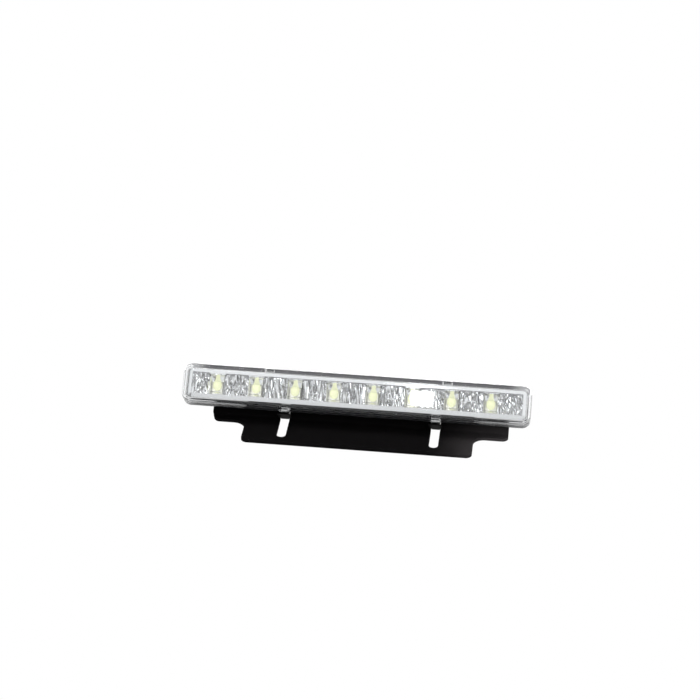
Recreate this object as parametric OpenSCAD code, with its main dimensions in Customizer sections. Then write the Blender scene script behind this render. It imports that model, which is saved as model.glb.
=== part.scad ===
/* [Lens] */
// Length of the clear lens
lens_l = 160; // [156:1:210]
// Height of the clear lens
lens_h = 18.2; // [17.4:0.1:22]
// Depth of the clear lens from its face to its back edge
lens_d = 8; // [7.5:0.1:9]
// Thickness of the lens face and skirt
lens_wall = 1.8; // [1.5:0.1:2]
// Corner radius of the lens seen from the front
lens_r = 4; // [3:0.1:6]
// Rounding of the lens edge around its face
edge_r = 1.6; // [0.8:0.1:1.7]
// Width of a snap tongue on the lens
tongue_w = 3.9; // [3:0.1:5]
// Thickness of a snap tongue
tongue_t = 1.1; // [0.9:0.1:1.3]
// Distance of an upper snap tongue from the lens end
top_tongue_in = 39; // [30:1:48]

/* [Reflector] */
// Room from the end of the window to the middle of the last cup
end_room = 13; // [12:0.1:14]
// Offset of the row of cups to the left of the lens middle
row_shift = 1.6; // [0:0.1:3]
// Height of the row of cups
window_h = 9.6; // [8:0.1:10.5]
// Flat rim from the lens end to the row of cups
end_rim = 4; // [3.6:0.1:5]
// Radius of the curved walls of a cup
cup_r = 6.5; // [6.2:0.1:7]
// Depth of a cup
cup_d = 4.2; // [3.6:0.1:4.4]
// Width of a facet groove between the cups
facet_w = 3.6; // [2.4:0.1:4]
// Depth of a facet groove
facet_d = 1.2; // [0.8:0.1:1.4]

/* [Board and light sources] */
// Side of a light source package
led_a = 5; // [4.6:0.1:5.2]
// Thickness of a light source package
led_t = 1.5; // [1.4:0.1:1.8]
// Diameter of the yellow phosphor window
phosphor_d = 3.8; // [3.4:0.1:4.2]
// Thickness of the circuit board
board_t = 1.6; // [1:0.1:2]
// Distance of the board screws from the lens ends
board_screw_in = 9; // [8.8:0.1:9.4]

/* [Housing] */
// Thickness of the rubber seal behind the lens
seal_t = 0.8; // [0.6:0.1:1.2]
// Step of the seal and housing rim inside the lens outline, each end
rim_in_x = 1.4; // [1:0.1:1.5]
// Step of the housing rim inside the lens outline, top and bottom
rim_in = 1; // [0.8:0.1:1.2]
// Step of the seal inside the top and bottom of the lens
seal_in = 0.3; // [0.2:0.1:0.8]
// Length of the housing rim behind the seal
rim_d = 2.8; // [2.4:0.1:3.4]
// Step of the housing body inside the lens outline, each end
body_in_x = 5; // [4.6:0.1:6]
// Step of the housing body inside the lens outline, top and bottom
body_in_z = 2.5; // [2.3:0.1:2.8]
// Depth of the hollow behind the circuit board
hollow_d = 5.3; // [4.6:0.1:7]
// Thickness of the housing back and walls
shell_t = 1.5; // [1.3:0.1:2]
// Distance of the cable gland from the lens end
gland_in = 24; // [22:0.5:26]
// Bore of the cable gland
gland_bore = 3.2; // [2.4:0.1:3.6]

/* [Bracket] */
// Thickness of the bracket sheet
sheet_t = 1.5; // [1:0.1:2]
// Step of the bracket inside the lens outline, each end
wide_in = 11.5; // [8:0.5:18]
// Step of the lower part of the bracket inside its upper part, each end
narrow_in = 15.75; // [12:0.25:23]
// Offset of the bracket to the right of the lens middle
bracket_shift = 1.8; // [0:0.1:3]
// Lean of the lower part of the bracket towards the front
flange_tilt = 47; // [30:1:60]
// Inner radius of the bracket bend
bend_r = 2; // [1.5:0.1:3]
// Straight length of the leaning part of the bracket
flange_l = 20.8; // [19:0.1:28]
// Depth of the wide part below the bend
step_s = 3.2; // [3.1:0.1:5]
// Fillet in the step of the bracket
step_r = 5.3; // [3:0.1:6]
// Radius of the outer corners of the bracket
corner_r = 3; // [1.5:0.1:3]
// Distance of a mounting slot from the end of the lower part
slot_in = 17.85; // [14:0.05:21]
// Width of a mounting slot
slot_w = 4.2; // [4.1:0.1:5.2]
// Distance from the slot end to the edge of the bracket
slot_edge = 5; // [4:0.1:6]
// Distance of a bracket screw beyond its mounting slot
screw_out = 10.1; // [8:0.1:12]
// Thread diameter of the bracket screws
screw_d = 3; // [2.5:0.1:3.2]

/* [Hidden] */
fit = 0.3;
eps = 0.05;
$fn = 48;
// Depths of the layers, measured back from the lens face
reflector_y = lens_wall + fit;
board_y = reflector_y + cup_d + led_t + 0.2;
seal_y = lens_d;
rim_y = seal_y + seal_t;
shelf_y = board_y + board_t;
body_y = rim_y + rim_d;
hollow_end_y = shelf_y + hollow_d;
back_y = hollow_end_y + shell_t;
led_pitch = (lens_l - 2 * end_rim - 2 * end_room) / 7;
cup_c = reflector_y + cup_d - cup_r;
cup_half = sqrt(cup_r * cup_r - (cup_r - cup_d) * (cup_r - cup_d));
// Outlines seen from the front
cave_l = lens_l - 2 * lens_wall;
cave_h = lens_h - 2 * lens_wall;
refl_l = cave_l - 2 * fit;
refl_h = cave_h - 2 * fit;
window_l = lens_l - 2 * end_rim;
board_l = lens_l - 2 * body_in_x + 1;
board_h = refl_h - 1.4;
rim_l = lens_l - 2 * rim_in_x;
rim_h = lens_h - 2 * rim_in;
body_l = lens_l - 2 * body_in_x;
body_h = lens_h - 2 * body_in_z;
hollow_l = body_l - 2 * shell_t - 1;
hollow_h = body_h - 2 * shell_t;
board_screw_x = lens_l / 2 - board_screw_in;
board_screw_d = 1.9;
gland_x = gland_in - lens_l / 2;
gland_hole = gland_bore + 1.8;
gland_collar = gland_hole + 2;
gland_lip = 1.6;
cable_gap = gland_collar + 2;
top_tongue_x = lens_l / 2 - top_tongue_in;
tongue_out = lens_h / 2 + 0.3;
tongue_front = edge_r + 0.9;
tongue_end = body_y + 1.4;
// Small parts on the back of the board
resistor_l = 3.2;
resistor_t = 0.6;
diode_l = 4.4;
diode_t = 2.2;
driver_l = 5;
driver_t = 1.6;
// Bracket
wide_w = lens_l - 2 * wide_in;
narrow_w = wide_w - 2 * narrow_in;
slot_gap = narrow_w - 2 * slot_in;
screw_gap = slot_gap + 2 * screw_out;
leg_y = back_y;
leg_top = body_h / 2 - 0.5;
bend_z = -lens_h / 2 - 0.6;
bend_y = leg_y - bend_r;
slot_s = flange_l - slot_edge;
slot_top = -body_h / 2 + 1.6;
lug_w = slot_w - 0.4;
keeper_t = 0.5;
keeper_w = slot_w + 2.2;
keeper_y = lens_d + 0.9;
lug_z = -tongue_out - fit - keeper_t;
insert_d = screw_d + 1.4;
insert_l = 4;
boss_d = insert_d + 2.6;
washer_t = 0.5;
head_t = 2;
// The middle of the slot row on the back face of the leaning part is the origin
mount_s = slot_s / 2;
mount_r = bend_r + sheet_t;
mount_y = bend_y + mount_r * cos(flange_tilt) - mount_s * sin(flange_tilt);
mount_z = bend_z - mount_r * sin(flange_tilt) - mount_s * cos(flange_tilt);

// Which piece to build

// Rectangle with true round corners
module rr(l, h, r) {
  square([l - 2 * r, h], center = true);
  square([l, h - 2 * r], center = true);
  for (x = [-1, 1], z = [-1, 1]) {
    translate([x * (l / 2 - r), z * (h / 2 - r)]) circle(r);
  }
}

// Draws a front view shape and gives it depth from y to y + d
module deep(y, d) {
  translate([0, y + d, 0]) rotate([90, 0, 0]) linear_extrude(d) children();
}

// Draws a side view shape (depth, height) and gives it length along x
module wide(x, l) {
  translate([x, 0, 0]) rotate([90, 0, 90]) linear_extrude(l) children();
}

// Moves the lamp, drawn from the middle of the lens face, to its origin
module lamp() {
  translate([-bracket_shift, -mount_y, -mount_z]) children();
}

// Frame of the leaning part: it is drawn as if it went straight down
module leaning() {
  translate([0, bend_y, bend_z]) rotate([-flange_tilt, 0, 0]) children();
}

function led_x(i) = -row_shift + (i - 4.5) * led_pitch;
function slot_x(k) = bracket_shift + k * slot_gap / 2;
function screw_x(k) = bracket_shift + k * screw_gap / 2;

// Side profile of the lens with rounded front edges
module edge_profile(h) {
  translate([lens_d - (lens_d - edge_r) / 2, 0]) square([lens_d - edge_r, h], center = true);
  translate([lens_d / 2, 0]) square([lens_d, h - 2 * edge_r], center = true);
  for (k = [-1, 1]) translate([edge_r, k * (h / 2 - edge_r)]) circle(edge_r);
}

module tongue(x, k) {
  translate([x - tongue_w / 2, tongue_front, k > 0 ? tongue_out - tongue_t : -tongue_out])
    cube([tongue_w, tongue_end - tongue_front, tongue_t]);
  catch_h = tongue_out - body_h / 2 - 0.5;
  translate([x - tongue_w / 2, body_y + 0.2, k > 0 ? tongue_out - catch_h : -tongue_out])
    cube([tongue_w, tongue_end - body_y - 0.2, catch_h]);
}

module lens() {
  color("white", 0.35) lamp() {
    difference() {
      intersection() {
        deep(0, lens_d) rr(lens_l, lens_h, lens_r);
        wide(-lens_l / 2, lens_l) edge_profile(lens_h);
        translate([0, 0, -lens_h / 2]) linear_extrude(lens_h) rotate(90) mirror([0, 1])
          edge_profile(lens_l);
      }
      deep(lens_wall, lens_d) rr(cave_l, cave_h, lens_r - lens_wall + 0.3);
    }
    for (k = [-1, 1]) {
      tongue(slot_x(k), -1);
      tongue(k * top_tongue_x, 1);
    }
  }
}

// Room in the seal for a snap tongue, on the upper or lower side
module tongue_room(x, k) {
  inner = tongue_out - tongue_t - fit;
  translate([x - tongue_w / 2 - fit, seal_y - 1, k > 0 ? inner : -inner - lens_h])
    cube([tongue_w + 2 * fit, seal_t + 2, lens_h]);
}

module lens_seal() {
  color("dimgray") lamp() difference() {
    deep(seal_y, seal_t) rr(rim_l, lens_h - 2 * seal_in, lens_r - rim_in);
    deep(seal_y - 1, seal_t + 2) rr(cave_l, cave_h, lens_r - lens_wall + 0.3);
    for (k = [-1, 1]) {
      tongue_room(slot_x(k), -1);
      tongue_room(k * top_tongue_x, 1);
    }
  }
}

// Groove seen from above, open to the front
module facet(x, w, d) {
  translate([0, 0, -window_h / 2]) linear_extrude(window_h) polygon([
    [x - w / 2, reflector_y - eps], [x + w / 2, reflector_y - eps],
    [x + w * 0.14, reflector_y + d], [x - w * 0.14, reflector_y + d]
  ]);
}

module reflector() {
  gap = led_pitch - 2 * cup_half;
  left_end = -window_l / 2;
  left_cup = led_x(1) - cup_half;
  right_end = window_l / 2;
  right_cup = led_x(8) + cup_half;
  color("silver") lamp() difference() {
    deep(reflector_y, board_y - reflector_y) rr(refl_l, refl_h, lens_r - lens_wall);
    for (i = [1 : 8]) {
      translate([led_x(i), cup_c, -window_h / 2]) cylinder(r = cup_r, h = window_h);
      translate([led_x(i), board_y - 1, 0]) cube([led_a + 0.4, 4, led_a + 0.4], center = true);
    }
    for (i = [1 : 7]) {
      facet(led_x(i) + led_pitch / 2, min(facet_w, gap - 1), facet_d);
      translate([led_x(i) + led_pitch / 2, board_y, 0])
        cube([gap + 0.4, 2 * (board_y - reflector_y - 2.5), refl_h - 2.4], center = true);
    }
    facet((left_end + left_cup) / 2, left_cup - left_end - 1.2, facet_d + 0.6);
    facet(right_end - (right_end - right_cup) * 0.27, (right_end - right_cup) * 0.44, facet_d + 0.6);
    facet(right_cup + (right_end - right_cup) * 0.27, (right_end - right_cup) * 0.44, facet_d + 0.6);
    for (k = [-1, 1]) translate([k * board_screw_x, board_y + 1, 0]) rotate([90, 0, 0])
      cylinder(d = 1.9 * board_screw_d + 0.8, h = 0.6 * board_screw_d + 1.3);
  }
}

module circuit_board() {
  color("green") lamp() difference() {
    deep(board_y, board_t) rr(board_l, board_h, 1);
    for (k = [-1, 1]) translate([k * board_screw_x, shelf_y + 1, 0]) rotate([90, 0, 0])
      cylinder(d = board_screw_d + fit, h = board_t + 2);
  }
}

module led(i) {
  color("white") lamp() difference() {
    translate([led_x(i), board_y - led_t / 2, 0]) cube([led_a, led_t, led_a], center = true);
    translate([led_x(i), board_y - led_t + 0.4, 0]) rotate([90, 0, 0])
      cylinder(d = phosphor_d + 0.1, h = 1);
  }
}

module phosphor(i) {
  color("gold") lamp() translate([led_x(i), board_y - led_t + 0.4, 0]) rotate([90, 0, 0])
    cylinder(d = phosphor_d, h = 0.35);
}

module chip(x, z, l, t, h) {
  lamp() translate([x, shelf_y + t / 2, z]) cube([l, t, h], center = true);
}

module resistor(step) {
  color("black") chip(step * led_pitch, 0, resistor_l, resistor_t, resistor_l / 2);
}

module protection_diode() {
  color("black") chip(1.75 * led_pitch, 0, diode_l, diode_t, diode_l * 0.6);
}

module driver_chip() {
  color("black") chip(0, 0, driver_l, driver_t, driver_l * 0.8);
}

module board_screws() {
  color("silver") lamp() for (k = [-1, 1]) {
    translate([k * board_screw_x, 0, 0]) rotate([90, 0, 0]) difference() {
      union() {
        translate([0, 0, -board_y]) cylinder(d = 1.9 * board_screw_d, h = 0.6 * board_screw_d);
        translate([0, 0, -shelf_y - 1.8 * board_screw_d]) {
          cylinder(d = board_screw_d, h = board_t + 1.8 * board_screw_d + eps);
        }
      }
      translate([0, 0, -board_y + 0.25 * board_screw_d]) {
        cylinder(d = 0.95 * board_screw_d, h = board_screw_d, $fn = 6);
      }
    }
  }
}

module housing() {
  color("#1a1a1a") lamp() difference() {
    union() {
      difference() {
        union() {
          deep(rim_y, rim_d) rr(rim_l, rim_h, lens_r - rim_in);
          deep(body_y - eps, back_y - body_y + eps) rr(body_l, body_h, 2.6);
          for (k = [-1, 1]) {
            translate([slot_x(k) - lug_w / 2, back_y - 3, lug_z])
              cube([lug_w, 3 + sheet_t - 0.2, slot_top - 0.4 - lug_z]);
            translate([slot_x(k) - keeper_w / 2, keeper_y, lug_z])
              cube([keeper_w, back_y - 0.4 - keeper_y, keeper_t]);
            translate([k * top_tongue_x - tongue_w / 2, tongue_end + fit, body_h / 2 - 1])
              cube([tongue_w, shell_t, tongue_out - body_h / 2 + 1]);
          }
        }
        deep(rim_y - 1, shelf_y - rim_y + 1) rr(board_l + 1, board_h + 0.6, 1.4);
        deep(shelf_y - eps, hollow_d + eps) rr(hollow_l, hollow_h, 1.6);
      }
      for (k = [-1, 1]) {
        translate([screw_x(k), hollow_end_y + eps, 0]) rotate([90, 0, 0])
          cylinder(d = boss_d, h = 3.5 + eps);
        translate([k * (board_screw_x - 1), (shelf_y + hollow_end_y + eps) / 2, 0])
          cube([3.7 * board_screw_d, hollow_d + eps, hollow_h + 0.4], center = true);
      }
    }
    for (k = [-1, 1]) {
      translate([screw_x(k), back_y + 1, 0]) rotate([90, 0, 0])
        cylinder(d = insert_d + 0.1, h = insert_l + 1);
      translate([k * board_screw_x, shelf_y + 2 * board_screw_d, 0]) rotate([90, 0, 0])
        cylinder(d = board_screw_d + 0.1, h = 2.5 * board_screw_d);
    }
    translate([gland_x, back_y + 1, 0]) rotate([90, 0, 0])
      cylinder(d = gland_hole, h = shell_t + 2);
  }
}

module cable_gland() {
  color("#303030") lamp() translate([gland_x, 0, 0]) rotate([90, 0, 0]) difference() {
    union() {
      translate([0, 0, -back_y - gland_lip]) cylinder(d = gland_collar, h = gland_lip);
      translate([0, 0, -back_y - eps]) cylinder(d = gland_hole - 0.1, h = shell_t + 2 * eps);
      translate([0, 0, -hollow_end_y]) cylinder(d = gland_collar - 0.4, h = 0.75 * gland_lip);
    }
    translate([0, 0, -back_y - 2 * gland_lip]) cylinder(d = gland_bore, h = back_y);
  }
}

module thread_inserts() {
  color("goldenrod") lamp() for (k = [-1, 1]) {
    translate([screw_x(k), back_y, 0]) rotate([90, 0, 0]) difference() {
      cylinder(d = insert_d, h = insert_l);
      translate([0, 0, -1]) cylinder(d = screw_d + 0.1, h = insert_l + 2);
    }
  }
}

// Side view of the whole bent sheet
module sheet_profile() {
  translate([leg_y, bend_z]) square([sheet_t, leg_top - bend_z]);
  translate([bend_y, bend_z]) {
    intersection() {
      difference() {
        circle(mount_r);
        circle(bend_r);
      }
      translate([0, -2 * mount_r]) square(2 * mount_r);
      rotate(-flange_tilt) square(2 * mount_r);
    }
    rotate(-flange_tilt) translate([bend_r, -flange_l]) square([sheet_t, flange_l]);
  }
}

// What rounds off a lower corner of the leaning part, which hangs down from zero
module corner(k, x, z) {
  difference() {
    translate([k * x, z]) square(2 * corner_r, center = true);
    translate([k * (x - corner_r), z + corner_r]) circle(corner_r + eps / 2);
  }
}

// What is cut away beside the lower part, with a fillet in the step
module notch() {
  out = wide_w / 2 + 2 - narrow_w / 2;
  difference() {
    translate([narrow_w / 2, -flange_l - 2]) square([out, flange_l + 2 - step_s]);
    difference() {
      translate([narrow_w / 2 - 1, -step_s - step_r]) square([step_r + 1, step_r + 1]);
      translate([narrow_w / 2 + step_r, -step_s - step_r]) circle(step_r);
    }
  }
}

module slot_shape() {
  translate([-slot_w / 2, -slot_s + slot_w / 2]) square([slot_w, slot_s - slot_w / 2 + eps]);
  translate([0, -slot_s + slot_w / 2]) circle(slot_w / 2);
}

module bracket() {
  color("#0a0a0a") lamp() difference() {
    wide(bracket_shift - wide_w / 2, wide_w) sheet_profile();
    for (k = [-1, 1]) translate([bracket_shift, 0, 0]) leaning() deep(bend_r - 1, sheet_t + 2) {
      corner(k, wide_w / 2, -step_s);
      corner(k, narrow_w / 2, -flange_l);
      mirror([k < 0 ? 1 : 0, 0]) notch();
    }
    for (k = [-1, 1]) {
      translate([slot_x(k), 0, 0]) leaning() deep(bend_r - 1, sheet_t + 2) slot_shape();
      translate([slot_x(k) - slot_w / 2, leg_y - 1, bend_z]) {
        cube([slot_w, sheet_t + 2, slot_top - bend_z]);
      }
      translate([slot_x(k) - slot_w / 2, bend_y + bend_r / 4, bend_z - mount_r])
        cube([slot_w, 2 * mount_r, mount_r + eps]);
      translate([screw_x(k), leg_y + sheet_t + 1, 0]) rotate([90, 0, 0])
        cylinder(d = screw_d + 0.4, h = sheet_t + 2);
      translate([bracket_shift + k * wide_w / 2, leg_y - 1, leg_top]) rotate([0, 45, 0])
        translate([-2, 0, -2]) cube([4, sheet_t + 2, 4]);
    }
    deep(leg_y - 1, sheet_t + 2) translate([gland_x, leg_top])
      square([cable_gap, 2 * (leg_top + cable_gap / 2)], center = true);
  }
}

module bracket_washers() {
  color("silver") lamp() for (k = [-1, 1]) {
    translate([screw_x(k), leg_y + sheet_t + washer_t, 0]) rotate([90, 0, 0]) difference() {
      cylinder(d = 2.3 * screw_d, h = washer_t);
      translate([0, 0, -1]) cylinder(d = screw_d + 0.3, h = washer_t + 2);
    }
  }
}

module bracket_screws() {
  head_y = leg_y + sheet_t + washer_t;
  color("silver") lamp() for (k = [-1, 1]) {
    translate([screw_x(k), 0, 0]) rotate([90, 0, 0]) difference() {
      union() {
        translate([0, 0, -head_y - head_t]) cylinder(d = 1.85 * screw_d, h = head_t);
        translate([0, 0, -head_y - eps]) cylinder(d = screw_d, h = sheet_t + washer_t + insert_l - 0.3);
      }
      translate([0, 0, -head_y - head_t - 1]) cylinder(d = 0.9 * screw_d, h = 2.2, $fn = 6);
    }
  }
}

lens();
lens_seal();
reflector();
circuit_board();
led(1);  // led_1
led(2);  // led_2
led(3);  // led_3
led(4);  // led_4
led(5);  // led_5
led(6);  // led_6
led(7);  // led_7
led(8);  // led_8
phosphor(1);  // phosphor_1
phosphor(2);  // phosphor_2
phosphor(3);  // phosphor_3
phosphor(4);  // phosphor_4
phosphor(5);  // phosphor_5
phosphor(6);  // phosphor_6
phosphor(7);  // phosphor_7
phosphor(8);  // phosphor_8
resistor(-4 / 3);  // resistor_1
resistor(-2 / 3);  // resistor_2
resistor(2 / 3);  // resistor_3
resistor(4 / 3);  // resistor_4
protection_diode();
driver_chip();
board_screws();
housing();
cable_gland();
thread_inserts();
bracket();
bracket_washers();
bracket_screws();
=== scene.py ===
import math

import bmesh
import bpy
import numpy as np
from mathutils import Matrix, Vector


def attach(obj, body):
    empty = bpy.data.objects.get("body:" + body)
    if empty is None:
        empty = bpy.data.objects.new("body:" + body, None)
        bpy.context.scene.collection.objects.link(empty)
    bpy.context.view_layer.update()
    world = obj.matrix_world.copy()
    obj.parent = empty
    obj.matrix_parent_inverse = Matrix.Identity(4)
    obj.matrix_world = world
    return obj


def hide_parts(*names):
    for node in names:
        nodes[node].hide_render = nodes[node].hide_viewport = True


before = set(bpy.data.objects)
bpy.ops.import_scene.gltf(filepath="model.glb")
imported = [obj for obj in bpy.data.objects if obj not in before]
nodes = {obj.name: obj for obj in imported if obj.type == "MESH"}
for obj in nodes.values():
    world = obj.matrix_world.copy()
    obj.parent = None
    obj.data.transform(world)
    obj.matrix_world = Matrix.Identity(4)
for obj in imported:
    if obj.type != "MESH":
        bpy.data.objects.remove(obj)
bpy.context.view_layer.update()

# Sizes in mm.
# Lamp frame: the middle of the lens face is zero, x right, y back, z up. VIEW_RISE is in degrees.
LAMP_ORIGIN = np.array([1.8, 11.0093, -17.6475])
LENS_L, LENS_H, LENS_D = 160.0, 18.2, 8.0
LENS_WALL, LENS_END_WALL, LENS_R, EDGE_R = 1.95, 1.5, 4.0, 1.6
VIEW_RISE = 14.0
PITCH, ROW_SHIFT, CUPS = 18.0, 1.6, 8
FRONT_Y, CUP_FLOOR, SOURCE_Y, BOARD_Y = 2.1, 6.3, 6.5, 8.0
REFL_L, REFL_H, REFL_R = 155.8, 14.0, 2.2
WINDOW_L, WINDOW_LOW, WINDOW_TOP = 152.0, -4.75, 5.25
HOLE_HALF, HOLE_TOP = 2.7, 2.15
SLOT_X = (-33.1, 36.7)
TOP_TONGUE_X = (-41.0, 41.0)
TONGUE_HALF = 1.95
MM = 0.001


def cup_x(i):
    """Middle of cup i, counted from 1 at the left."""
    return -ROW_SHIFT + (i - 4.5) * PITCH


def to_frame(points):
    """Lamp millimetres to the shared frame's metres: p minus the lamp origin, over 1000."""
    return (np.asarray(points, float) - LAMP_ORIGIN) * MM


# Mesh makers.
def make_piece(name, points, faces, sharp):
    """Puts lamp points and faces into a mesh; edges that turn more than `sharp` degrees stay crisp."""
    mesh = bpy.data.meshes.new(name)
    mesh.from_pydata(to_frame(points), [], [tuple(f) for f in faces])
    mesh.validate()
    mesh.update()
    mesh.polygons.foreach_set("use_smooth", np.ones(len(mesh.polygons), bool))
    mesh.set_sharp_from_angle(angle=math.radians(sharp))
    piece = bpy.data.objects.new(name, mesh)
    bpy.context.scene.collection.objects.link(piece)
    return piece


def grid_faces(rows, columns, wrap=False):
    """Quads between neighbouring rows and columns; wrap closes the last column to the first."""
    r = np.arange(rows - 1)[:, None]
    c = np.arange(columns if wrap else columns - 1)[None, :]
    n = (c + 1) % columns
    a, b = r * columns + c, r * columns + n
    return np.stack([a, b, b + columns, a + columns], -1).reshape(-1, 4)


def round_rect(length, height, radius, steps=12):
    """Closed outline of a rectangle with round corners: four arcs of `steps` points, joined by sides."""
    turn = np.linspace(0, np.pi / 2, steps)
    arcs = []
    for k, (sx, sz) in enumerate([(1, 1), (-1, 1), (-1, -1), (1, -1)]):
        a = turn + k * np.pi / 2
        arcs.append(np.stack([sx * (length / 2 - radius) + radius * np.cos(a),
                              sz * (height / 2 - radius) + radius * np.sin(a)], 1))
    return np.concatenate(arcs)


def lens_rings(profile):
    """Rings of one profile carried round the lens outline.

    Each profile point is (inset, depth): the outline moved in by `inset`, at depth y. Along the skirt
    the inset at the two ends never passes the end wall.
    """
    least_radius = 0.15
    rings = []
    for inset, depth in profile:
        r = max(LENS_R - inset, least_radius)
        on_face = inset > LENS_WALL + 0.01
        end = inset if on_face else min(inset, LENS_END_WALL)
        flat = round_rect(LENS_L - 2 * end, LENS_H - 2 * inset, r)
        rings.append(np.stack([flat[:, 0], np.full(len(flat), depth), flat[:, 1]], 1))
    return rings


def outline_prism(outline, x0, x1):
    """A closed side outline (y, z), listed anticlockwise seen from +x, given length from x0 to x1."""
    n = len(outline)
    points = np.concatenate([np.column_stack([np.full(n, x), outline]) for x in (x0, x1)])
    faces = [tuple(f) for f in grid_faces(2, n, wrap=True)]
    faces.append(tuple(range(n))[::-1])
    faces.append(tuple(n + np.arange(n)))
    return points, faces


def join_parts(parts):
    """Stacks several (points, faces) into one."""
    points, faces, start = [], [], 0
    for p, f in parts:
        points.append(np.asarray(p))
        faces.extend(tuple(int(i) + start for i in face) for face in f)
        start += len(p)
    return np.concatenate(points), faces


def face_out(piece):
    """Turns every face of a closed piece outwards."""
    bm = bmesh.new()
    bm.from_mesh(piece.data)
    bmesh.ops.recalc_face_normals(bm, faces=bm.faces)
    bm.to_mesh(piece.data)
    bm.free()
    return piece


# Clear lens.
# Two shallow grooves round the skirt, as points of (inset, depth).
SKIRT_GROOVES = [(0.0, 3.2), (0.34, 3.6), (0.0, 4.6), (0.0, 5.7), (0.2, 5.9), (0.0, 6.5)]


def lens_profile():
    """From the middle of the face outwards, round the edge, back along the skirt and in again.

    The front edge is a quarter circle of EDGE_R; two shallow grooves run round the skirt.
    """
    turn = np.linspace(0, np.pi / 2, 9)
    fillet, near, far, skirt_top = 0.6, 0.3, 1.2, 2.9
    chamfer, back_edge, inner_edge = 0.2, 0.25, 0.15
    outer = [(EDGE_R + far, 0.0), (EDGE_R + back_edge, 0.0)]
    outer += [(EDGE_R - EDGE_R * math.sin(a), EDGE_R - EDGE_R * math.cos(a)) for a in turn]
    outer += SKIRT_GROOVES
    outer += [(0.0, LENS_D - back_edge), (chamfer, LENS_D)]
    inner = [(LENS_WALL - inner_edge, LENS_D), (LENS_WALL, LENS_D - chamfer), (LENS_WALL, skirt_top)]
    inner += [(LENS_WALL + fillet * (1 - math.cos(a)), LENS_WALL + fillet * (1 - math.sin(a))) for a in turn]
    inner += [(LENS_WALL + fillet + near, LENS_WALL), (LENS_WALL + fillet + far, LENS_WALL)]
    return outer + inner


def tongue_outline():
    """Side outline (y, z) of an upper snap tongue: a slim blade with a catch at its end."""
    low, slope_foot, out, thin, catch, ramp = 9.11, 9.2, 9.4, 8.3, 7.15, 7.6
    start, slope_end, skirt_end, catch_start, catch_end, tip = 2.5, 2.8, 8.05, 11.8, 12.7, 13.0
    return np.array([(start, low), (skirt_end, low), (skirt_end, thin), (catch_start, thin),
                     (catch_start, catch), (catch_end, catch), (tip, ramp), (tip, out),
                     (slope_end, out), (start, slope_foot)])


def clear_lens():
    """Hollow clear cap with four snap tongues: one profile carried round, closed by two flat faces."""
    rings = lens_rings(lens_profile())
    n = len(rings[0])
    points = np.concatenate(rings)
    faces = [tuple(f) for f in grid_faces(len(rings), n, wrap=True)]
    faces.append(tuple(range(n)))
    faces.append(tuple((len(rings) - 1) * n + np.arange(n))[::-1])
    parts = [(points, faces)]
    for xs, side in ((SLOT_X, -1), (TOP_TONGUE_X, 1)):
        for x in xs:
            parts.append(outline_prism(tongue_outline() * (1, side), x - TONGUE_HALF, x + TONGUE_HALF))
    return face_out(make_piece("clear_lens", *join_parts(parts), sharp=28))


# Reflector.
# Side wall of a cup: distance from the cup's middle, and depth there.
WALL_FOOT, CUP_EDGE = 2.72, 3.85
WALL_T = np.array([0.0, WALL_FOOT, 2.88, 3.02, 3.14, 3.2, CUP_EDGE, PITCH / 2])
WALL_Y = np.array([CUP_FLOOR, CUP_FLOOR, 5.7, 4.95, 4.2, 3.85, 4.1, 4.1])
# Shoulder of a panel: distance from the panel's middle, and depth there.
SHOULDER_T = np.array([0.0, 2.85, 2.92, 4.4, 5.38, PITCH / 2])
SHOULDER_Y = np.array([2.35, 2.35, 3.1, 3.35, 3.6, 3.6])
# Sill of a cup: distance below the lamp's middle, and depth there.
SILL_Z = np.array([0.0, 2.75, 3.3, 3.9, 4.4, 4.7, 4.8])
SILL_Y = np.array([CUP_FLOOR, CUP_FLOOR, 5.7, 4.7, 3.5, 2.6, 2.3])
# Bow of a cup's roof: its radius, the rise over which it sets in, and half its width.
ROOF_BOW_R, ROOF_BOW_FULL, ROOF_BOW_HALF = 7.5, 1.7, 1.9
# The lower rim slopes back a little; inside the window's edge the mirror steps back, then slopes.
RIM_SLOPE, FRAME_STEP, FRAME_SLOPE = 0.17, 0.1, 4.0
END_PANEL_Y = 2.7
SHELL = 1.2
NET_STEP = 10.3 / 16
FACET_SEED = 40


def roof_curve():
    """Curved roof of a cup, stepped upwards from the source's edge until it meets the window's face.

    At each height z the slope is the one that throws a view from VIEW_RISE degrees below onto the dome's
    shoulder. The surface normal n is along (way to the dome - way of the view), and dy/dz = -nz / ny.
    """
    rise = math.radians(VIEW_RISE)
    view = np.array([math.cos(rise), math.sin(rise)])
    low_target, high_target = np.array([5.9, 1.1]), np.array([4.6, 0.6])
    point = np.array([CUP_FLOOR, HOLE_TOP])
    curve = [point.copy()]
    step, front_room, top_room = 0.02, 0.2, 0.05
    while point[0] > FRONT_Y + front_room and point[1] < WINDOW_TOP - top_room:
        up = (point[1] - HOLE_TOP) / (WINDOW_TOP - HOLE_TOP)
        to_dome = low_target + (high_target - low_target) * up - point
        to_dome = to_dome / np.hypot(*to_dome)
        normal = to_dome - view
        point = point + step * np.array([-normal[1] / normal[0], 1.0])
        curve.append(point.copy())
    return np.array(curve)


ROOF = roof_curve()


def cup_depth(dist, z):
    """Depth inside a cup: the nearest of its side walls, its curved roof and its sill.

    The middle of the roof bows down by up * d^2 / (2 R), which narrows what it mirrors.
    """
    side = np.interp(dist, WALL_T, WALL_Y)
    up = np.clip((z - HOLE_TOP) / ROOF_BOW_FULL, 0, 1)
    bow = np.minimum(dist, ROOF_BOW_HALF) ** 2 / (2 * ROOF_BOW_R)
    roof = np.interp(z - up * bow, ROOF[:, 1], ROOF[:, 0])
    sill = np.interp(-z, SILL_Z, SILL_Y)
    return np.minimum(side, np.minimum(roof, sill))


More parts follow.
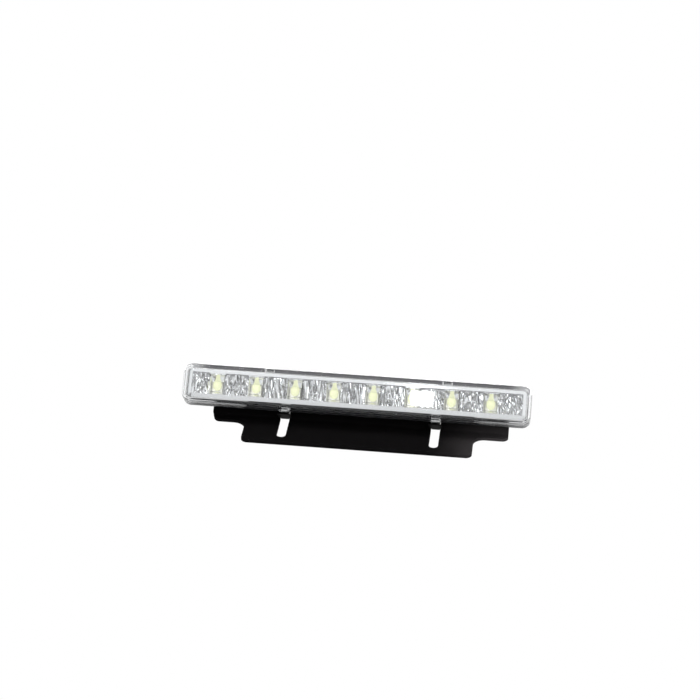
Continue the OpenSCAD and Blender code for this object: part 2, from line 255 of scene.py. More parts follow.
def facet_net(u, z, knots, du, dz):
    """Flat three-cornered facets over a net of knot depths: each cell is cut along one diagonal."""
    rows, columns = knots.shape
    cu = np.clip(u / du, 0, columns - 1.001)
    cz = np.clip(z / dz, 0, rows - 1.001)
    i, j = np.floor(cz).astype(int), np.floor(cu).astype(int)
    fz, fu = cz - i, cu - j
    a, b = knots[i, j], knots[i, j + 1]
    c, d = knots[i + 1, j], knots[i + 1, j + 1]
    low = a + (b - a) * fu + (c - a) * fz
    high = d + (c - d) * (1 - fu) + (b - d) * (1 - fz)
    return np.where(fu + fz < 1, low, high)


def cut_facets(u, z, row_height, deep, seed):
    """Depth of the facets of one cut panel, u across and z up, both from its lower left corner."""
    rng = np.random.default_rng(seed)
    rows = int(math.ceil((WINDOW_TOP - WINDOW_LOW) / row_height)) + 2
    columns, ridge_share = 18, 0.35
    knots = rng.uniform(0.0, deep, (rows, columns))
    knots[:, 1::2] *= ridge_share
    return facet_net(u, z, knots, NET_STEP, row_height)


# Each panel from the left end to the right one: height of its facets, where tall ones look like
# streaks, their depth, and the height of its level bar, which NO_BAR puts above the window.
NO_BAR = 9.0
BAR_HALF_HEIGHT, BAR_HALF_LENGTH, BAR_DEPTH = 0.3, 2.3, 0.1
ROW_HEIGHTS = (1.3, 1.6, 3.1, 3.4, 3.2, 2.2, 2.6, 1.4, 1.2)
FACET_DEPTHS = (0.75, 0.75, 1.0, 1.0, 1.0, 0.8, 0.7, 0.85, 0.8)
BAR_Z = (NO_BAR, -1.5, -1.1, -1.3, NO_BAR, -1.2, NO_BAR, 0.4, NO_BAR)


def panel_depth(x, z, panel):
    """Depth of the cut panel with this number: a base that steps down to the cups, plus its facets.

    Some panels have a level bar across their middle where the facets above and below part.
    """
    u = x - (cup_x(1) - PITCH / 2 + panel * PITCH)
    base = np.interp(np.abs(u), SHOULDER_T, SHOULDER_Y)
    if panel in (0, CUPS):
        base = END_PANEL_Y
    cut = cut_facets(u + PITCH / 2 - CUP_EDGE, z - WINDOW_LOW, ROW_HEIGHTS[panel], FACET_DEPTHS[panel],
                     FACET_SEED + panel)
    bar = (np.abs(z - BAR_Z[panel]) < BAR_HALF_HEIGHT) & (np.abs(u) < BAR_HALF_LENGTH)
    return base + np.where(bar, BAR_DEPTH, cut)


def reflector_depth(x, z):
    """Depth of the whole mirror surface: cups, panels between them, cut ends and the flat rim."""
    cup = np.clip(np.round((x - cup_x(1)) / PITCH), 0, CUPS - 1)
    dist = np.abs(x - cup_x(1) - cup * PITCH)
    depth = cup_depth(dist, z)
    panel = np.clip(np.round((x - cup_x(1)) / PITCH + 0.5), 0, CUPS).astype(int)
    outside = dist > CUP_EDGE
    for k in range(CUPS + 1):
        here = outside & (panel == k)
        depth[here] = panel_depth(x[here], z[here], k)
    edge = np.minimum(np.minimum(WINDOW_TOP - z, z - WINDOW_LOW), WINDOW_L / 2 - np.abs(x))
    depth = np.minimum(depth, FRONT_Y + FRAME_STEP + FRAME_SLOPE * np.maximum(edge, 0))
    rim = FRONT_Y + RIM_SLOPE * np.maximum(WINDOW_LOW - z, 0)
    return np.where(edge > 0, depth, rim)


def grid_lines():
    """Lines of the reflector's grid: along x they hit the knots of the facets and the cup walls.

    A step at the window's edge is two lines, a crack of 0.02 apart. A panel's shoulders get lines too.
    """
    crack, closest, third = 0.02, 0.015, NET_STEP / 3
    cup = np.concatenate([np.linspace(0, WALL_FOOT, 10), [2.8, 2.88, 2.95, 3.02, 3.08, 3.14, 3.2, 3.5]])
    panel = CUP_EDGE + third * np.arange(0, 24.1)
    shoulders = PITCH / 2 - SHOULDER_T[1:3]
    half = np.concatenate([cup, panel, shoulders])
    half = half[half < PITCH / 2 + 0.01]
    lines = [cup_x(i) + side * half for i in range(1, CUPS + 1) for side in (-1, 1)]
    for side, i in ((-1, 1), (1, CUPS)):
        lines.append(cup_x(i) + side * (CUP_EDGE + third * np.arange(0, 70)))
    for side in (-1, 1):
        lines.append(side * np.array([WINDOW_L / 2, WINDOW_L / 2 + crack, REFL_L / 2]))
    xs = np.unique(np.round(np.concatenate(lines), 3))
    xs = xs[np.abs(xs) <= REFL_L / 2]
    xs = xs[np.concatenate([[True], np.diff(xs) > closest])]
    window = np.linspace(WINDOW_LOW, WINDOW_TOP, 46)
    rim = [np.linspace(-REFL_H / 2, WINDOW_LOW - crack, 7), np.linspace(WINDOW_TOP + crack, REFL_H / 2, 6)]
    return xs, np.sort(np.concatenate([window] + rim))


def rounded_corners(X, Z):
    """Pulls the plate's square corners round: there each point keeps its way from the corner's centre.

    Its distance becomes the larger of its two steps, max(dx, dz), so that squares turn into arcs.
    """
    cx, cz = REFL_L / 2 - REFL_R, REFL_H / 2 - REFL_R
    dx, dz = np.abs(X) - cx, np.abs(Z) - cz
    corner = (dx > 0) & (dz > 0)
    size = np.hypot(dx, dz)
    scale = np.where(corner & (size > 0), np.maximum(dx, dz) / np.maximum(size, 1e-9), 1.0)
    return (np.where(corner, np.sign(X) * (cx + dx * scale), X),
            np.where(corner, np.sign(Z) * (cz + dz * scale), Z))


def reflector():
    """Mirror plate: the depth function over a fine grid, holes for the sources, side walls and a back."""
    xs, zs = grid_lines()
    X, Z = np.meshgrid(xs, zs)
    Y = reflector_depth(X, Z)
    X, Z = rounded_corners(X, Z)
    front = np.stack([X, Y, Z], -1).reshape(-1, 3)
    faces = grid_faces(*X.shape)
    # a hole in each cup's floor for its light source
    centre = front[faces].mean(1)
    keep = np.ones(len(faces), bool)
    for i in range(1, CUPS + 1):
        keep &= ~((np.abs(centre[:, 0] - cup_x(i)) < HOLE_HALF)
                  & (centre[:, 2] > -HOLE_HALF) & (centre[:, 2] < HOLE_TOP))
    faces = faces[keep]
    # the back repeats the front, a shell's thickness deeper, flattened just before the board
    board_gap = 0.02
    back = front.copy()
    back[:, 1] = np.minimum(back[:, 1] + SHELL, BOARD_Y - board_gap)
    back[:, 1] = np.maximum(back[:, 1], FRONT_Y + SHELL)
    n = len(front)
    both = np.concatenate([front, back])
    all_faces = np.concatenate([faces, faces[:, ::-1] + n])
    # walls round the rim and the holes: every edge used by one front face only
    edges = np.concatenate([faces[:, [k, (k + 1) % 4]] for k in range(4)])
    key = np.sort(edges, 1)
    _, first, count = np.unique(key[:, 0] * n + key[:, 1], return_index=True, return_counts=True)
    open_edges = edges[first[count == 1]]
    walls = np.stack([open_edges[:, 1], open_edges[:, 0], open_edges[:, 0] + n, open_edges[:, 1] + n], 1)
    all_faces = np.concatenate([all_faces, walls])
    used = np.unique(all_faces)
    index = np.full(2 * n, -1)
    index[used] = np.arange(len(used))
    return make_piece("chrome_reflector", both[used], index[all_faces], sharp=9)


# Light sources.
OVAL_Z = 0.08
RING_POINTS = 48
# The package from its back to its face, as (side, corner radius, depth), and its oval recess, as
# (half width, half height, depth).
PACKAGE_SQUARES = [(4.9, 0.25, BOARD_Y), (5.0, 0.3, BOARD_Y - 0.1), (5.0, 0.3, SOURCE_Y + 0.12),
                   (4.78, 0.28, SOURCE_Y)]
PACKAGE_RECESS = [(2.0, 2.15, SOURCE_Y), (1.9, 2.07, 6.9)]


def ring_angles():
    """Even turns of angle for a ring, half a turn's step off the x axis."""
    return np.linspace(0, 2 * np.pi, RING_POINTS, endpoint=False) + np.pi / RING_POINTS


def square_ring(side, radius, y, x):
    """Ring of points on a square of the given side with round corners, by even turns of angle.

    Each point is where the ray at that angle leaves the rounded square, found from its distance field.
    """
    turn = ring_angles()
    ux, uz = np.cos(turn), np.sin(turn)
    half = side / 2
    reach = half / np.maximum(np.abs(ux), np.abs(uz))
    c = half - radius
    b = c * (np.abs(ux) + np.abs(uz))
    inner = b + np.sqrt(np.maximum(b * b - 2 * c * c + radius ** 2, 0))
    corner = (np.abs(ux) * reach > c) & (np.abs(uz) * reach > c)
    r = np.where(corner, inner, reach)
    return np.stack([x + r * ux, np.full(RING_POINTS, y), r * uz], 1)


def oval_ring(k, wide, high, y, x):
    """Ring of points on k times an oval of these half axes; above the middle it is squarer.

    Oval: |x / wide|^p + |z / high|^p = 1 with p = 2 below and 6 above, around OVAL_Z.
    """
    turn = ring_angles()
    ux, uz = np.cos(turn), np.sin(turn)
    power = np.where(uz > 0, 6.0, 2.0)
    swell = (np.abs(ux) ** power + np.abs(uz) ** power) ** (-1 / power)
    return np.stack([x + ux * swell * k * wide, np.full(RING_POINTS, y), OVAL_Z + uz * swell * k * high], 1)


def ringed(name, rings, sharp):
    """Closed piece from rings, capped at both ends."""
    n = len(rings[0])
    faces = [tuple(f) for f in grid_faces(len(rings), n, wrap=True)]
    faces += [tuple(range(n)), tuple((len(rings) - 1) * n + np.arange(n))[::-1]]
    return face_out(make_piece(name, np.concatenate(rings), faces, sharp))


def source_package(i):
    """Moulded square package: rounded square sides, a chamfered face and a cone-shaped recess."""
    rings = [square_ring(side, radius, y, cup_x(i)) for side, radius, y in PACKAGE_SQUARES]
    rings += [oval_ring(1.0, wide, high, y, cup_x(i)) for wide, high, y in PACKAGE_RECESS]
    return ringed("source_package_%d" % i, rings, 30)


def phosphor_drop(i):
    """Dome of yellow silicone, a quarter of an ellipse turned round: taller than wide, flat at its root."""
    x = cup_x(i)
    wide, high, tall, root = 1.85, 2.02, 2.4, 6.88
    rise = np.radians([86.0, 74, 62, 50, 38, 26, 14, 5])
    rings = [oval_ring(math.cos(a), wide, high, root - tall * math.sin(a), x) for a in rise]
    rings.append(oval_ring(1.0, wide, high, root, x))
    return ringed("phosphor_drop_%d" % i, rings, 40)


# Copies with soft edges.
def soft_edged(node, name, width):
    """A merged copy of a rigid CAD node with its hard edges rounded by `width` millimetres."""
    hard_edge = math.radians(35)
    mesh = nodes[node].data.copy()
    mesh.name = name
    mesh.materials.clear()
    bm = bmesh.new()
    bm.from_mesh(mesh)
    bmesh.ops.remove_doubles(bm, verts=bm.verts, dist=1e-6)
    bmesh.ops.dissolve_limit(bm, angle_limit=math.radians(1.0), verts=bm.verts, edges=bm.edges)
    bm.to_mesh(mesh)
    bm.free()
    if mesh.has_custom_normals:
        mesh.attributes.remove(mesh.attributes["custom_normal"])
    mesh.polygons.foreach_set("use_smooth", np.ones(len(mesh.polygons), bool))
    mesh.set_sharp_from_angle(angle=hard_edge)
    piece = bpy.data.objects.new(name, mesh)
    bpy.context.scene.collection.objects.link(piece)
    bevel = piece.modifiers.new("edge", "BEVEL")
    bevel.width = width * MM
    bevel.segments = 2
    bevel.limit_method = "ANGLE"
    bevel.angle_limit = hard_edge
    bevel.use_clamp_overlap = True
    bevel.harden_normals = True
    return piece


# The bracket's left end: how far its foot leans in, where along x that starts and how far it reaches.
SLANT, SLANT_FROM, SLANT_REACH = 1.15, 60.0, 6.7
SLANT_TOP_Z, SLANT_HEIGHT = -9.3, 4.3


def slant_left_end(piece):
    """Leans the bracket's left end: a point moves in by SLANT * k * (-x - SLANT_FROM) / SLANT_REACH.

    Here k grows from 0 to 1 on the way down from SLANT_TOP_Z, over SLANT_HEIGHT.
    """
    mesh = piece.data
    co = np.empty(len(mesh.vertices) * 3)
    mesh.vertices.foreach_get("co", co)
    co = co.reshape(-1, 3)
    lamp = co / MM + LAMP_ORIGIN
    near = lamp[:, 0] < -SLANT_FROM
    k = np.clip((SLANT_TOP_Z - lamp[:, 2]) / SLANT_HEIGHT, 0, 1)
    co[:, 0] += np.where(near, SLANT * k * (-lamp[:, 0] - SLANT_FROM) / SLANT_REACH, 0) * MM
    mesh.vertices.foreach_set("co", co.ravel())
    mesh.update()


# Materials.
def new_material(name):
    """A material with a Principled shader, and its tree, shader and output."""
    mat = bpy.data.materials.new(name)
    mat.use_nodes = True
    tree = mat.node_tree
    return mat, tree, tree.nodes["Principled BSDF"], tree.nodes["Material Output"]


def colour(r, g, b):
    """An opaque colour for a shader's socket."""
    return (r, g, b, 1.0)


def maths(tree, operation, *numbers):
    """A Math node with numbers in some of its inputs; None leaves an input for a link."""
    node = tree.nodes.new("ShaderNodeMath")
    node.operation = operation
    for socket, number in zip(node.inputs, numbers):
        if number is not None:
            socket.default_value = number
    return node


def grain_group():
    """Shader group: fine noise that varies a colour, a roughness and a height.

    Inputs: Scale in bumps per metre, Colour, Spread of brightness, Roughness, Roughness Spread.
    """
    group = bpy.data.node_groups.new("fine_grain", "ShaderNodeTree")
    face = group.interface
    for label, kind, value in (("Scale", "Float", 900.0), ("Colour", "Color", (0.1, 0.1, 0.1, 1)),
                               ("Spread", "Float", 0.2), ("Roughness", "Float", 0.5),
                               ("Roughness Spread", "Float", 0.1)):
        socket = face.new_socket(name=label, in_out="INPUT", socket_type="NodeSocket" + kind)
        socket.default_value = value
    for label, kind in (("Colour", "Color"), ("Roughness", "Float"), ("Height", "Float")):
        face.new_socket(name=label, in_out="OUTPUT", socket_type="NodeSocket" + kind)
    link = group.links.new
    given = group.nodes.new("NodeGroupInput")
    result = group.nodes.new("NodeGroupOutput")
    coords = group.nodes.new("ShaderNodeTexCoord")
    fine = group.nodes.new("ShaderNodeTexNoise")
    broad = group.nodes.new("ShaderNodeTexNoise")
    fine.inputs["Detail"].default_value = 3.0
    broad.inputs["Detail"].default_value = 4.0
    slow = maths(group, "MULTIPLY", None, 0.06)
    link(coords.outputs["Object"], fine.inputs["Vector"])
    link(coords.outputs["Object"], broad.inputs["Vector"])
    link(given.outputs["Scale"], fine.inputs["Scale"])
    link(given.outputs["Scale"], slow.inputs[0])
    link(slow.outputs[0], broad.inputs["Scale"])
    # half of each noise, less a half: a value around zero
    half = maths(group, "MULTIPLY", None, 0.5)
    mixed = maths(group, "MULTIPLY_ADD", None, 0.5)
    centred = maths(group, "SUBTRACT", None, 0.5)
    link(broad.outputs["Fac"], half.inputs[0])
    link(fine.outputs["Fac"], mixed.inputs[0])
    link(half.outputs[0], mixed.inputs[2])
    link(mixed.outputs[0], centred.inputs[0])
    # the colour times 1 + 4 * spread * value
    wider = maths(group, "MULTIPLY", None, 4.0)
    bright = maths(group, "MULTIPLY_ADD", None, None, 1.0)
    tint = group.nodes.new("ShaderNodeVectorMath")
    tint.operation = "SCALE"
    link(given.outputs["Spread"], wider.inputs[0])
    link(centred.outputs[0], bright.inputs[0])
    link(wider.outputs[0], bright.inputs[1])
    link(given.outputs["Colour"], tint.inputs[0])
    link(bright.outputs[0], tint.inputs["Scale"])
    link(tint.outputs[0], result.inputs["Colour"])
    rough = maths(group, "MULTIPLY_ADD")
    rough.use_clamp = True
    link(centred.outputs[0], rough.inputs[0])
    link(given.outputs["Roughness Spread"], rough.inputs[1])
    link(given.outputs["Roughness"], rough.inputs[2])
    link(rough.outputs[0], result.inputs["Roughness"])
    link(fine.outputs["Fac"], result.inputs["Height"])
    return group


GRAIN = grain_group()


def grained(name, rgb, rough, scale, spread, rough_spread=0.3, bump=0.1, bump_mm=0.02, metallic=0.0,
            specular=0.5):
    """A moulded, painted or metal finish from the fine grain group."""
    mat, tree, shader, _ = new_material(name)
    grain = tree.nodes.new("ShaderNodeGroup")
    grain.node_tree = GRAIN
    grain.inputs["Scale"].default_value = scale
    grain.inputs["Colour"].default_value = colour(*rgb)
    grain.inputs["Spread"].default_value = spread
    grain.inputs["Roughness"].default_value = rough
    grain.inputs["Roughness Spread"].default_value = rough_spread
    tree.links.new(grain.outputs["Colour"], shader.inputs["Base Color"])
    tree.links.new(grain.outputs["Roughness"], shader.inputs["Roughness"])
    height = tree.nodes.new("ShaderNodeBump")
    height.inputs["Strength"].default_value = bump
    height.inputs["Distance"].default_value = bump_mm * MM
    tree.links.new(grain.outputs["Height"], height.inputs["Height"])
    tree.links.new(height.outputs["Normal"], shader.inputs["Normal"])
    shader.inputs["Metallic"].default_value = metallic
    shader.inputs["Specular IOR Level"].default_value = specular
    return mat


def clear_plastic():
    """Clear polycarbonate: real transmission; shadow rays pass straight through it."""
    mat, tree, shader, out = new_material("clear_polycarbonate")
    shader.inputs["Base Color"].default_value = colour(0.97, 0.98, 0.985)
    shader.inputs["Transmission Weight"].default_value = 1.0
    shader.inputs["IOR"].default_value = 1.5
    noise = tree.nodes.new("ShaderNodeTexNoise")
    noise.inputs["Scale"].default_value = 260.0
    noise.inputs["Detail"].default_value = 2.0
    coords = tree.nodes.new("ShaderNodeTexCoord")
    tree.links.new(coords.outputs["Object"], noise.inputs["Vector"])
    ramp = tree.nodes.new("ShaderNodeMapRange")
    ramp.inputs["To Min"].default_value = 0.0
    ramp.inputs["To Max"].default_value = 0.03
    tree.links.new(noise.outputs["Fac"], ramp.inputs["Value"])
    tree.links.new(ramp.outputs["Result"], shader.inputs["Roughness"])
    clear = tree.nodes.new("ShaderNodeBsdfTransparent")
    path = tree.nodes.new("ShaderNodeLightPath")
    mix = tree.nodes.new("ShaderNodeMixShader")
    tree.links.new(path.outputs["Is Shadow Ray"], mix.inputs["Fac"])
    tree.links.new(shader.outputs["BSDF"], mix.inputs[1])
    tree.links.new(clear.outputs["BSDF"], mix.inputs[2])
    tree.links.new(mix.outputs["Shader"], out.inputs["Surface"])
    return mat


def mirror_chrome():
    """Vacuum chrome with faint waves."""
    return grained("reflector_chrome", (0.86, 0.865, 0.875), rough=0.06, scale=700, spread=0.02,
                   rough_spread=0.06, metallic=1.0)


def phosphor_silicone():
    """Phosphor in silicone: pale yellow, mostly given as an even glow of its own, which is painted light on
    the phosphor.
    """
    mat = grained("phosphor", (0.09, 0.092, 0.055), rough=0.5, scale=2600, spread=0.05, bump=0.05)
    shader = mat.node_tree.nodes["Principled BSDF"]
    # the glow is painted light: it keeps the phosphor bright whatever light reaches it
    shader.inputs["Emission Color"].default_value = colour(0.97, 1.0, 0.64)
    shader.inputs["Emission Strength"].default_value = 0.83
    return mat


def painted_light_and_shade_ramp(mat, axis, start, end, first, last, middle=None):
    """Lets a grained finish pass smoothly from one colour to another along an axis, between two places; here
    that paints light and shade into the colour.

    The places are in metres. With a middle given, they are distances from it and count to both sides.
    """
    tree = mat.node_tree
    grain = next(n for n in tree.nodes if n.type == "GROUP")
    coords = tree.nodes.new("ShaderNodeTexCoord")
    parts = tree.nodes.new("ShaderNodeSeparateXYZ")
    tree.links.new(coords.outputs["Object"], parts.inputs[0])
    along = tree.nodes.new("ShaderNodeMapRange")
    along.interpolation_type = "SMOOTHSTEP"
    along.inputs["From Min"].default_value = start
    along.inputs["From Max"].default_value = end
    place = parts.outputs[axis]
    if middle is not None:
        away = maths(tree, "SUBTRACT", None, middle)
        far = maths(tree, "ABSOLUTE")
        tree.links.new(place, away.inputs[0])
        tree.links.new(away.outputs[0], far.inputs[0])
        place = far.outputs[0]
    tree.links.new(place, along.inputs["Value"])
    tint = tree.nodes.new("ShaderNodeMix")
    tint.data_type = "RGBA"
    tint.inputs["A"].default_value = colour(*first)
    tint.inputs["B"].default_value = colour(*last)
    tree.links.new(along.outputs["Result"], tint.inputs["Factor"])
    tree.links.new(tint.outputs["Result"], grain.inputs["Colour"])
    return mat


def seal_grey():
    """Grey rubber of the seal, painted pale at its two ends: painted light, standing in for the light that
    comes through the lens there.
    """
    # the pale colour towards both ends is painted light on the grey rubber
    dark, pale = (0.17, 0.17, 0.18), (0.6, 0.6, 0.61)
    dark_to, painted_light_from = 0.0683, 0.0763
    mat = grained("seal_rubber", dark, rough=0.7, scale=1500, spread=0.2)
    return painted_light_and_shade_ramp(mat, "X", dark_to, painted_light_from, dark, pale, middle=-LAMP_ORIGIN[0] * MM)


def housing_plastic():
    """Black moulded housing, painted deeper black below the lens, in its keepers: painted shade."""
    # the deeper black below the lens is painted shade, not another plastic
    deep, black = (0.004, 0.004, 0.004), (0.03, 0.03, 0.031)
    painted_shade_to, black_from = 0.0080, 0.0086
    mat = grained("housing_black", black, rough=0.6, scale=1600, spread=0.3, bump=0.25, bump_mm=0.03,
                  specular=0.04)
    return painted_light_and_shade_ramp(mat, "Z", painted_shade_to, black_from, deep, black)


def bracket_black():
    """Black paint on the bracket, painted a little greyer towards its right end: painted light on the black
    paint.
    """
    # the grey towards the right end is painted light
    black, grey = (0.0035, 0.0032, 0.0034), (0.037, 0.034, 0.035)
    black_to, painted_lit_from = 0.030, 0.068
    mat = grained("bracket_paint", black, rough=0.62, scale=2200, spread=0.25, bump=0.12, specular=0.02)
    return painted_light_and_shade_ramp(mat, "X", black_to, painted_lit_from, black, grey)


def board_white():
    """Circuit board: white resist with tracks, from a brick pattern."""
    mat, tree, shader, _ = new_material("board")
    track_height = 0.04
    coords = tree.nodes.new("ShaderNodeTexCoord")
    turn = tree.nodes.new("ShaderNodeMapping")
    turn.inputs["Rotation"].default_value = (math.radians(90), 0, 0)
    brick = tree.nodes.new("ShaderNodeTexBrick")
    brick.inputs["Scale"].default_value = 160.0
    brick.inputs["Color1"].default_value = colour(0.84, 0.85, 0.84)
    brick.inputs["Color2"].default_value = colour(0.80, 0.80, 0.79)
    brick.inputs["Mortar"].default_value = colour(0.5, 0.5, 0.49)
    brick.inputs["Mortar Size"].default_value = 0.05
    tree.links.new(coords.outputs["Object"], turn.inputs["Vector"])
    tree.links.new(turn.outputs["Vector"], brick.inputs["Vector"])
    tree.links.new(brick.outputs["Color"], shader.inputs["Base Color"])
    height = tree.nodes.new("ShaderNodeBump")
    height.inputs["Distance"].default_value = track_height * MM
    tree.links.new(brick.outputs["Fac"], height.inputs["Height"])
    tree.links.new(height.outputs["Normal"], shader.inputs["Normal"])
    shader.inputs["Roughness"].default_value = 0.35
    return mat


# One finish for each material slot.
FINISH = {
    "clear_polycarbonate": clear_plastic(),
    "seal_rubber": seal_grey(),
    "reflector_chrome": mirror_chrome(),
    "board": board_white(),
    "led_body": grained("led_body", (0.68, 0.68, 0.61), rough=0.45, scale=3000, spread=0.04),
    "phosphor": phosphor_silicone(),
    "component_black": grained("component_black", (0.02, 0.02, 0.022), rough=0.5, scale=2500, spread=0.3),
    "housing_black": housing_plastic(),
    "insert_brass": grained("insert_brass", (0.72, 0.48, 0.2), rough=0.3, scale=1200, spread=0.1,
                            metallic=1.0),
    "gland_rubber": grained("gland_rubber", (0.022, 0.022, 0.022), rough=0.65, scale=1500, spread=0.2),
    "bracket_paint": bracket_black(),
    "screw_steel": grained("screw_steel", (0.5, 0.5, 0.51), rough=0.28, scale=900, spread=0.08,
                           metallic=1.0),
}


# The lamp is built here.
def dress(piece, node, slot):
    """Gives a piece its finish and lets it stand for a CAD node."""
    piece.data.materials.append(FINISH[slot])
    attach(piece, "root")
    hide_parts(node)


lens = clear_lens()
mirror = reflector()
bracket = soft_edged("bracket", "foot_bracket", 0.22)
housing = soft_edged("housing", "lamp_housing", 0.25)
slant_left_end(bracket)
dress(lens, "lens", "clear_polycarbonate")
dress(mirror, "reflector", "reflector_chrome")
dress(bracket, "bracket", "bracket_paint")
dress(housing, "housing", "housing_black")
for i in range(1, CUPS + 1):
    dress(source_package(i), "led_%d" % i, "led_body")
    dress(phosphor_drop(i), "phosphor_%d" % i, "phosphor")

# CAD nodes that stay as they are and get these finishes.
CARRIED = {
    "seal_rubber": ["lens_seal"],
    "board": ["circuit_board"],
    "component_black": ["resistor_%d" % i for i in range(1, 5)] + ["protection_diode", "driver_chip"],
    "insert_brass": ["thread_inserts"],
    "gland_rubber": ["cable_gland"],
    "screw_steel": ["board_screws", "bracket_washers", "bracket_screws"],
}
for slot, names in CARRIED.items():
    for name in names:
        for holder in nodes[name].material_slots:
            holder.material = FINISH[slot]

# Camera.
# It looks at a target in the lamp, which lies TARGET_PX right of and below the picture's middle.
AZIMUTH, ELEVATION, ROLL = map(math.radians, (4.3, -VIEW_RISE, 5.1))
DISTANCE, FOCAL_PX, PICTURE_PX, SENSOR = 1162.75, 2534.8, 700, 36.0
TARGET = Vector((0.0, 8.0, -6.0))
TARGET_PX = (6.05, 60.09)
TO_CAMERA = Vector((math.sin(AZIMUTH) * math.cos(ELEVATION), -math.cos(AZIMUTH) * math.cos(ELEVATION),
                    math.sin(ELEVATION)))


def studio_camera():
    """Long lens from slightly right and below; it aims so that the lamp sits low in the picture."""
    right = Vector((math.cos(AZIMUTH), math.sin(AZIMUTH), 0))
    up = TO_CAMERA.cross(right)
    across = math.cos(ROLL) * right + math.sin(ROLL) * up
    upward = -math.sin(ROLL) * right + math.cos(ROLL) * up
    place = TARGET + TO_CAMERA * DISTANCE
    mm_per_px = DISTANCE / FOCAL_PX
    aim = TARGET - across * (TARGET_PX[0] * mm_per_px) + upward * (TARGET_PX[1] * mm_per_px)
    look = (place - aim).normalized()
    across = (across - look * across.dot(look)).normalized()
    upward = look.cross(across)
    turn = Matrix((across, upward, look)).transposed().to_4x4()
    data = bpy.data.cameras.new("studio_camera")
    data.sensor_width = SENSOR
    data.lens = FOCAL_PX / PICTURE_PX * SENSOR
    data.clip_start, data.clip_end = 0.05, 20.0
    camera = bpy.data.objects.new("studio_camera", data)
    camera.matrix_world = Matrix.Translation(Vector(to_frame(place))) @ turn
    bpy.context.scene.collection.objects.link(camera)
    bpy.context.scene.camera = camera


studio_camera()

# Studio.
bpy.context.scene.view_settings.view_transform = "Standard"


def plain_world():
    """White where the camera, mirrors and clear plastic look; a plain level for the light."""
    world = bpy.data.worlds.new("studio")
    bpy.context.scene.world = world
    world.use_nodes = True
    tree = world.node_tree
    light = tree.nodes["Background"]
    light.inputs["Color"].default_value = colour(1, 1, 1)
    light.inputs["Strength"].default_value = 0.75
    seen = tree.nodes.new("ShaderNodeBackground")
    seen.inputs["Color"].default_value = colour(1, 1, 1)
    seen.inputs["Strength"].default_value = 1.0
    path = tree.nodes.new("ShaderNodeLightPath")
    either = maths(tree, "MAXIMUM")
    any_seen = maths(tree, "MAXIMUM")
    tree.links.new(path.outputs["Is Camera Ray"], either.inputs[0])
    tree.links.new(path.outputs["Is Glossy Ray"], either.inputs[1])
    tree.links.new(either.outputs[0], any_seen.inputs[0])
    tree.links.new(path.outputs["Is Transmission Ray"], any_seen.inputs[1])
    mix = tree.nodes.new("ShaderNodeMixShader")
    tree.links.new(any_seen.outputs[0], mix.inputs["Fac"])
    tree.links.new(light.outputs[0], mix.inputs[1])
    tree.links.new(seen.outputs[0], mix.inputs[2])
    tree.links.new(mix.outputs[0], tree.nodes["World Output"].inputs["Surface"])


def pale_floor():
    """Plain pale floor, level, 30 m out to every side."""
    mat, _, shader, _ = new_material("pale_floor")
    shader.inputs["Base Color"].default_value = colour(0.86, 0.86, 0.86)
    shader.inputs["Roughness"].default_value = 0.9
    shader.inputs["Specular IOR Level"].default_value = 0.1
    half, level = 30, -0.9
    mesh = bpy.data.meshes.new("floor")
    mesh.from_pydata([(-half, -half, level), (half, -half, level), (half, half, level), (-half, half, level)],
                     [], [(0, 1, 2, 3)])
    mesh.materials.append(mat)
    floor = bpy.data.objects.new("floor", mesh)
    bpy.context.scene.collection.objects.link(floor)


def soft_light(name, place, aim, size, power):
    """A rectangular light, turned towards a point; places in metres, power in watts."""
    data = bpy.data.lights.new(name, "AREA")
    data.shape = "RECTANGLE"
    data.size, data.size_y = size
    data.energy = power
    lamp = bpy.data.objects.new(name, data)
    lamp.location = place
    lamp.rotation_euler = (Vector(aim) - Vector(place)).to_track_quat("-Z", "Y").to_euler()
    bpy.context.scene.collection.objects.link(lamp)


plain_world()
pale_floor()

# The cards lie on a ball round the lamp's middle; azimuths and elevations are in degrees.
CARD_RADIUS, CARD_MIDDLE_Z, CARD_STEP = 0.75, 0.018, 12
CARD_GREYS = np.array([0.02, 0.04, 0.08, 0.16, 0.3, 0.7])
CARD_SEED = 11
PALE_CARD = (0.0, -10.0, 29.0, 24.0, 0.8)
SIDE_FROM, SIDE_TO, SIDE_HEIGHT = 15.0, 105, 62.0
SIDE_WIDTHS, SIDE_GAPS, SIDE_MIDDLES = (1.5, 5.0), (0.0, 2.2), (-4, 8)
DARK_FROM, DARK_TO, DARK_GREY = 60, 78, 0.02
LEVEL_FROM, LEVEL_TO, LEVEL_WIDTH = 33.0, 84, 150.0
LEVEL_HEIGHTS, LEVEL_GAPS = (2.5, 6.0), (0.5, 3.0)


def glow_card(level):
    """A studio card of one even grey."""
    mat, tree, _, out = new_material("card_%02d" % int(level * 100))
    glow = tree.nodes.new("ShaderNodeEmission")
    glow.inputs["Color"].default_value = colour(1, 1, 1)
    glow.inputs["Strength"].default_value = level
    tree.links.new(glow.outputs[0], out.inputs["Surface"])
    return mat


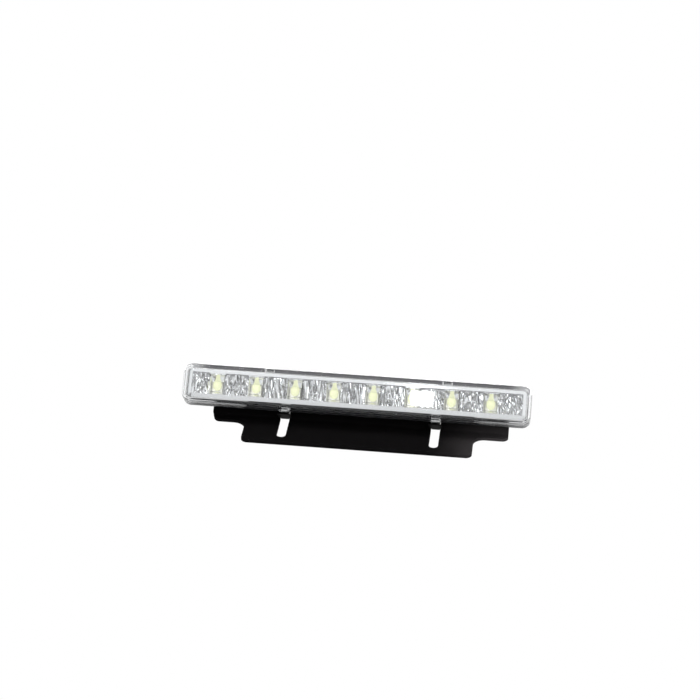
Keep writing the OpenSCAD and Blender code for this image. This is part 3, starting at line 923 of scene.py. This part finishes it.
def card_plan():
    """Strips of changing grey: upright ones to the left and right, level ones above and below.

    Each is (azimuth, elevation, width, height, grey); the first is one pale card below the front.
    """
    rng = np.random.default_rng(CARD_SEED)
    cards = [PALE_CARD]
    az = SIDE_FROM
    while az < SIDE_TO:
        wide = rng.uniform(*SIDE_WIDTHS)
        for side in (-1, 1):
            grey = DARK_GREY if DARK_FROM < az < DARK_TO else float(rng.choice(CARD_GREYS))
            cards.append((side * (az + wide / 2), rng.uniform(*SIDE_MIDDLES), wide, SIDE_HEIGHT, grey))
        az += wide + rng.uniform(*SIDE_GAPS)
    for side in (-1, 1):
        el = LEVEL_FROM
        while el < LEVEL_TO:
            high = rng.uniform(*LEVEL_HEIGHTS)
            cards.append((0.0, side * (el + high / 2), LEVEL_WIDTH, high, float(rng.choice(CARD_GREYS))))
            el += high + rng.uniform(*LEVEL_GAPS)
    return cards


def card_lines(middle, span):
    """Even lines over a card's span, in radians, close enough to follow the ball."""
    count = max(2, int(span / CARD_STEP) + 1)
    return np.radians(np.linspace(middle - span / 2, middle + span / 2, count))


def studio_cards():
    """Dark and grey strips on the ball, which the mirror shows and the camera doesn't see."""
    greys = {}
    for k, (az, el, wide, high, level) in enumerate(card_plan()):
        if level not in greys:
            greys[level] = glow_card(level)
        a, e = np.meshgrid(card_lines(az, wide), card_lines(el, high))
        ball = np.stack([np.sin(a) * np.cos(e), -np.cos(a) * np.cos(e), np.sin(e)], -1) * CARD_RADIUS
        ball[..., 2] += CARD_MIDDLE_Z
        mesh = bpy.data.meshes.new("card_%02d" % k)
        mesh.from_pydata(ball.reshape(-1, 3), [], grid_faces(*a.shape).tolist())
        mesh.materials.append(greys[level])
        card = bpy.data.objects.new("card_%02d" % k, mesh)
        bpy.context.scene.collection.objects.link(card)
        card.visible_camera = card.visible_diffuse = card.visible_shadow = False


studio_cards()


def flash_lights():
    """A small bright flash with a fainter one round it.

    They stand where the flat lens face mirrors them to the camera, over cup six. The way from the
    camera to that spot goes on with its y turned round, and the sizes grow with the distance.
    """
    spot, reach = Vector((30.3, 0.0, -0.4)), 700.0
    ray = (spot - TARGET - TO_CAMERA * DISTANCE).normalized()
    mirrored = Vector((ray.x, -ray.y, ray.z))
    grow = (DISTANCE + reach) / DISTANCE
    place = Vector(to_frame(spot + mirrored * reach))
    aim = Vector(to_frame(spot))
    for name, size, power in (("flash", (0.0102, 0.0068), 0.014), ("flash_halo", (0.0128, 0.0088), 0.0022)):
        soft_light(name, place, aim, (size[0] * grow, size[1] * grow), power)


flash_lights()
soft_light("key_light", (-0.5, -0.9, 0.9), (0, 0, 0), (0.6, 0.4), 12.0)
soft_light("fill_light", (0.8, -0.7, 0.1), (0, 0, 0), (0.5, 0.5), 4.0)
soft_light("back_light", (0.1, 0.9, 0.7), (0, 0, 0), (0.7, 0.4), 8.0)
